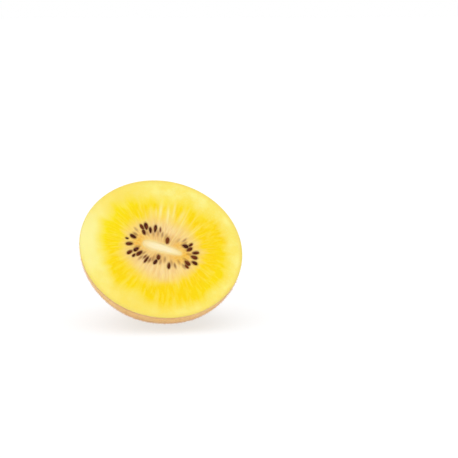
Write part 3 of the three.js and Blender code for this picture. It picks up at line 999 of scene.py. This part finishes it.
class FRUIT_OT_seeds(bpy.types.Operator):
    """Set the dark seeds in the cut face"""

    bl_idname = "fruit.kiwi_seeds"
    bl_label = "Seeds"

    def execute(self, context):
        fruit = Fruit(settings().shape)
        draw = np.random.default_rng(41)
        places, turns, sizes, breadths, tones = [], [], [], [], []
        basis = Matrix(fruit.axes.T.tolist())
        for x, y, heading, long_way, wide in seed_places(fruit):
            places.append([x, y, -draw.uniform(0.14, 0.24)])
            roll = draw.uniform(-0.35, 0.35)
            own = Matrix.Rotation(heading, 3, "Z") @ Matrix.Rotation(roll, 3, "X")
            turns.append(list((basis @ own).to_euler()))
            sizes.append(long_way * draw.uniform(0.94, 1.04))
            breadths.append(wide * draw.uniform(0.86, 1.0))
            tones.append(draw.uniform(0, 1) ** 2)
        points = fruit.to_row(np.array(places))
        base = new_piece("seed_points", points, [], {"size": sizes, "breadth": breadths, "tone": tones},
                         {"turn": turns})
        material = seed_material()
        piece = run_group("seeds", base, seed_group(material), {})
        dress(piece, material, "seed")
        return {"FINISHED"}


class FRUIT_OT_fuzz(bpy.types.Operator):
    """Sow the short hairs on the skin"""

    bl_idname = "fruit.kiwi_fuzz"
    bl_label = "Fuzz"

    def execute(self, context):
        detail = settings().detail
        skin = bpy.data.objects["skin_shell"]
        base = bpy.data.objects.new("fuzz_base", skin.data.copy())
        context.scene.collection.objects.link(base)
        material = hair_material()
        piece = run_group("skin_fuzz", base, hair_group(material),
                          {"Density": detail.hair_density, "Hair Length": detail.hair_length})
        dress(piece, material, "skin")
        return {"FINISHED"}


class FRUIT_OT_style(bpy.types.Operator):
    """Put the dry remains of the flower's styles in the beak's pit"""

    bl_idname = "fruit.kiwi_style"
    bl_label = "Style remains"

    def execute(self, context):
        fruit = Fruit(settings().shape)
        draw = np.random.default_rng(31)
        basis = Matrix(fruit.axes.T.tolist())
        places, turns, sizes = [], [], []
        for k in range(STYLES):
            around = k / STYLES * 2 * math.pi + draw.uniform(-0.25, 0.25)
            out = draw.uniform(0.25, 0.9)
            places.append([out * math.cos(around), out * math.sin(around), 0.25 - BEAK_PIT_DEPTH])
            lean = math.radians(draw.uniform(20, 62))
            own = Matrix.Rotation(around, 3, "Z") @ Matrix.Rotation(math.pi - lean, 3, "Y")
            turns.append(list((basis @ own).to_euler()))
            sizes.append(draw.uniform(0.7, 1.15))
        base = new_piece("style_points", fruit.to_row(np.array(places)), [], {"size": sizes}, {"turn": turns})
        material = style_material()
        piece = run_group("style_remains", base, style_group(material), {})
        dress(piece, material, "skin")
        return {"FINISHED"}


class FRUIT_OT_stage(bpy.types.Operator):
    """Set up the table, the light and the camera"""

    bl_idname = "fruit.kiwi_stage"
    bl_label = "Stage"

    def execute(self, context):
        chosen = settings()
        stage = chosen.stage
        scene = context.scene
        corners = np.array([[-1, -1, 0], [1, -1, 0], [1, 1, 0], [-1, 1, 0]]) * FLOOR_HALF
        floor = new_piece("table", corners, [[0, 1, 2, 3]])
        floor.data.materials.append(floor_material())

        # White surroundings: the backdrop is seen as full white, whatever light it gives
        world = bpy.data.worlds.new("studio")
        world.use_nodes = True
        tree = world.node_tree
        background = tree.nodes["Background"]
        background.inputs["Color"].default_value = (1, 1, 1, 1)
        seen = add(tree, "ray kind", output="Is Camera Ray")
        rest = add(tree, "times", seen, 1.0 - stage.world_light)
        strength = add(tree, "plus", stage.world_light, rest)
        tree.links.new(strength, background.inputs["Strength"])
        scene.world = world
        scene.view_settings.view_transform = "Standard"

        # The camera looks at a point beside the cut's middle, from where the photograph was taken
        centre = Vector((Fruit(chosen.shape).shift * MM).tolist())
        out = math.cos(stage.elevation)
        back = Vector((math.sin(stage.azimuth) * out, -math.cos(stage.azimuth) * out,
                       math.sin(stage.elevation)))
        right = Vector((math.cos(stage.azimuth), math.sin(stage.azimuth), 0))
        up = right.cross(-back)
        target = centre + right * stage.target_right + up * stage.target_up
        camera = bpy.data.objects.new("camera", bpy.data.cameras.new("camera"))
        camera.data.lens = stage.lens
        camera.data.sensor_width = 36.0
        camera.data.clip_start = 0.01
        turned = Matrix((right, up, back)).transposed().to_4x4()
        camera.matrix_world = Matrix.Translation(target + back * stage.distance) @ turned
        scene.collection.objects.link(camera)
        scene.camera = camera

        light = bpy.data.lights.new("overhead", "SUN")
        light.energy = stage.key_light
        light.angle = stage.key_softness
        lamp = bpy.data.objects.new("overhead", light)
        lamp.rotation_euler = Vector(stage.key_from).to_track_quat("Z", "Y").to_euler()
        scene.collection.objects.link(lamp)
        return {"FINISHED"}


class FRUIT_PT_kiwi(bpy.types.Panel):
    """Lists the steps that build the fruit"""

    bl_label = "Golden Kiwi Half"
    bl_space_type = "VIEW_3D"
    bl_region_type = "UI"
    bl_category = "Fruit"

    def draw(self, context):
        chosen = settings()
        for group in (chosen.shape, chosen.detail, chosen.colours, chosen.stage):
            for key in group.__annotations__:
                self.layout.prop(group, key)
        for operator in OPERATORS:
            self.layout.operator(operator.bl_idname)


class GoldenKiwi(bpy.types.PropertyGroup):
    """All settings of the fruit"""

    shape: PointerProperty(type=FruitShape, name="Shape", description="Sizes of the half fruit")
    detail: PointerProperty(type=MeshDetail, name="Detail", description="How fine the meshes are")
    colours: PointerProperty(type=FruitColours, name="Colours", description="Main colours")
    stage: PointerProperty(type=StageSettings, name="Stage", description="Camera and light")


OPERATORS = (FRUIT_OT_skin, FRUIT_OT_flesh, FRUIT_OT_core, FRUIT_OT_seeds, FRUIT_OT_fuzz,
             FRUIT_OT_style, FRUIT_OT_stage)
CLASSES = (FruitShape, MeshDetail, FruitColours, StageSettings, GoldenKiwi) + OPERATORS + (FRUIT_PT_kiwi,)


def register():
    """Makes the settings, the steps and their panel known."""
    for cls in CLASSES:
        bpy.utils.register_class(cls)
    bpy.types.Scene.golden_kiwi = PointerProperty(type=GoldenKiwi)


def unregister():
    """Takes them away again."""
    del bpy.types.Scene.golden_kiwi
    for cls in reversed(CLASSES):
        bpy.utils.unregister_class(cls)


def main():
    """Builds the fruit and its stage."""
    register()
    bpy.ops.fruit.kiwi_skin()
    bpy.ops.fruit.kiwi_flesh()
    bpy.ops.fruit.kiwi_core()
    bpy.ops.fruit.kiwi_seeds()
    bpy.ops.fruit.kiwi_fuzz()
    bpy.ops.fruit.kiwi_style()
    bpy.ops.fruit.kiwi_stage()


if __name__ == "__main__":
    main()
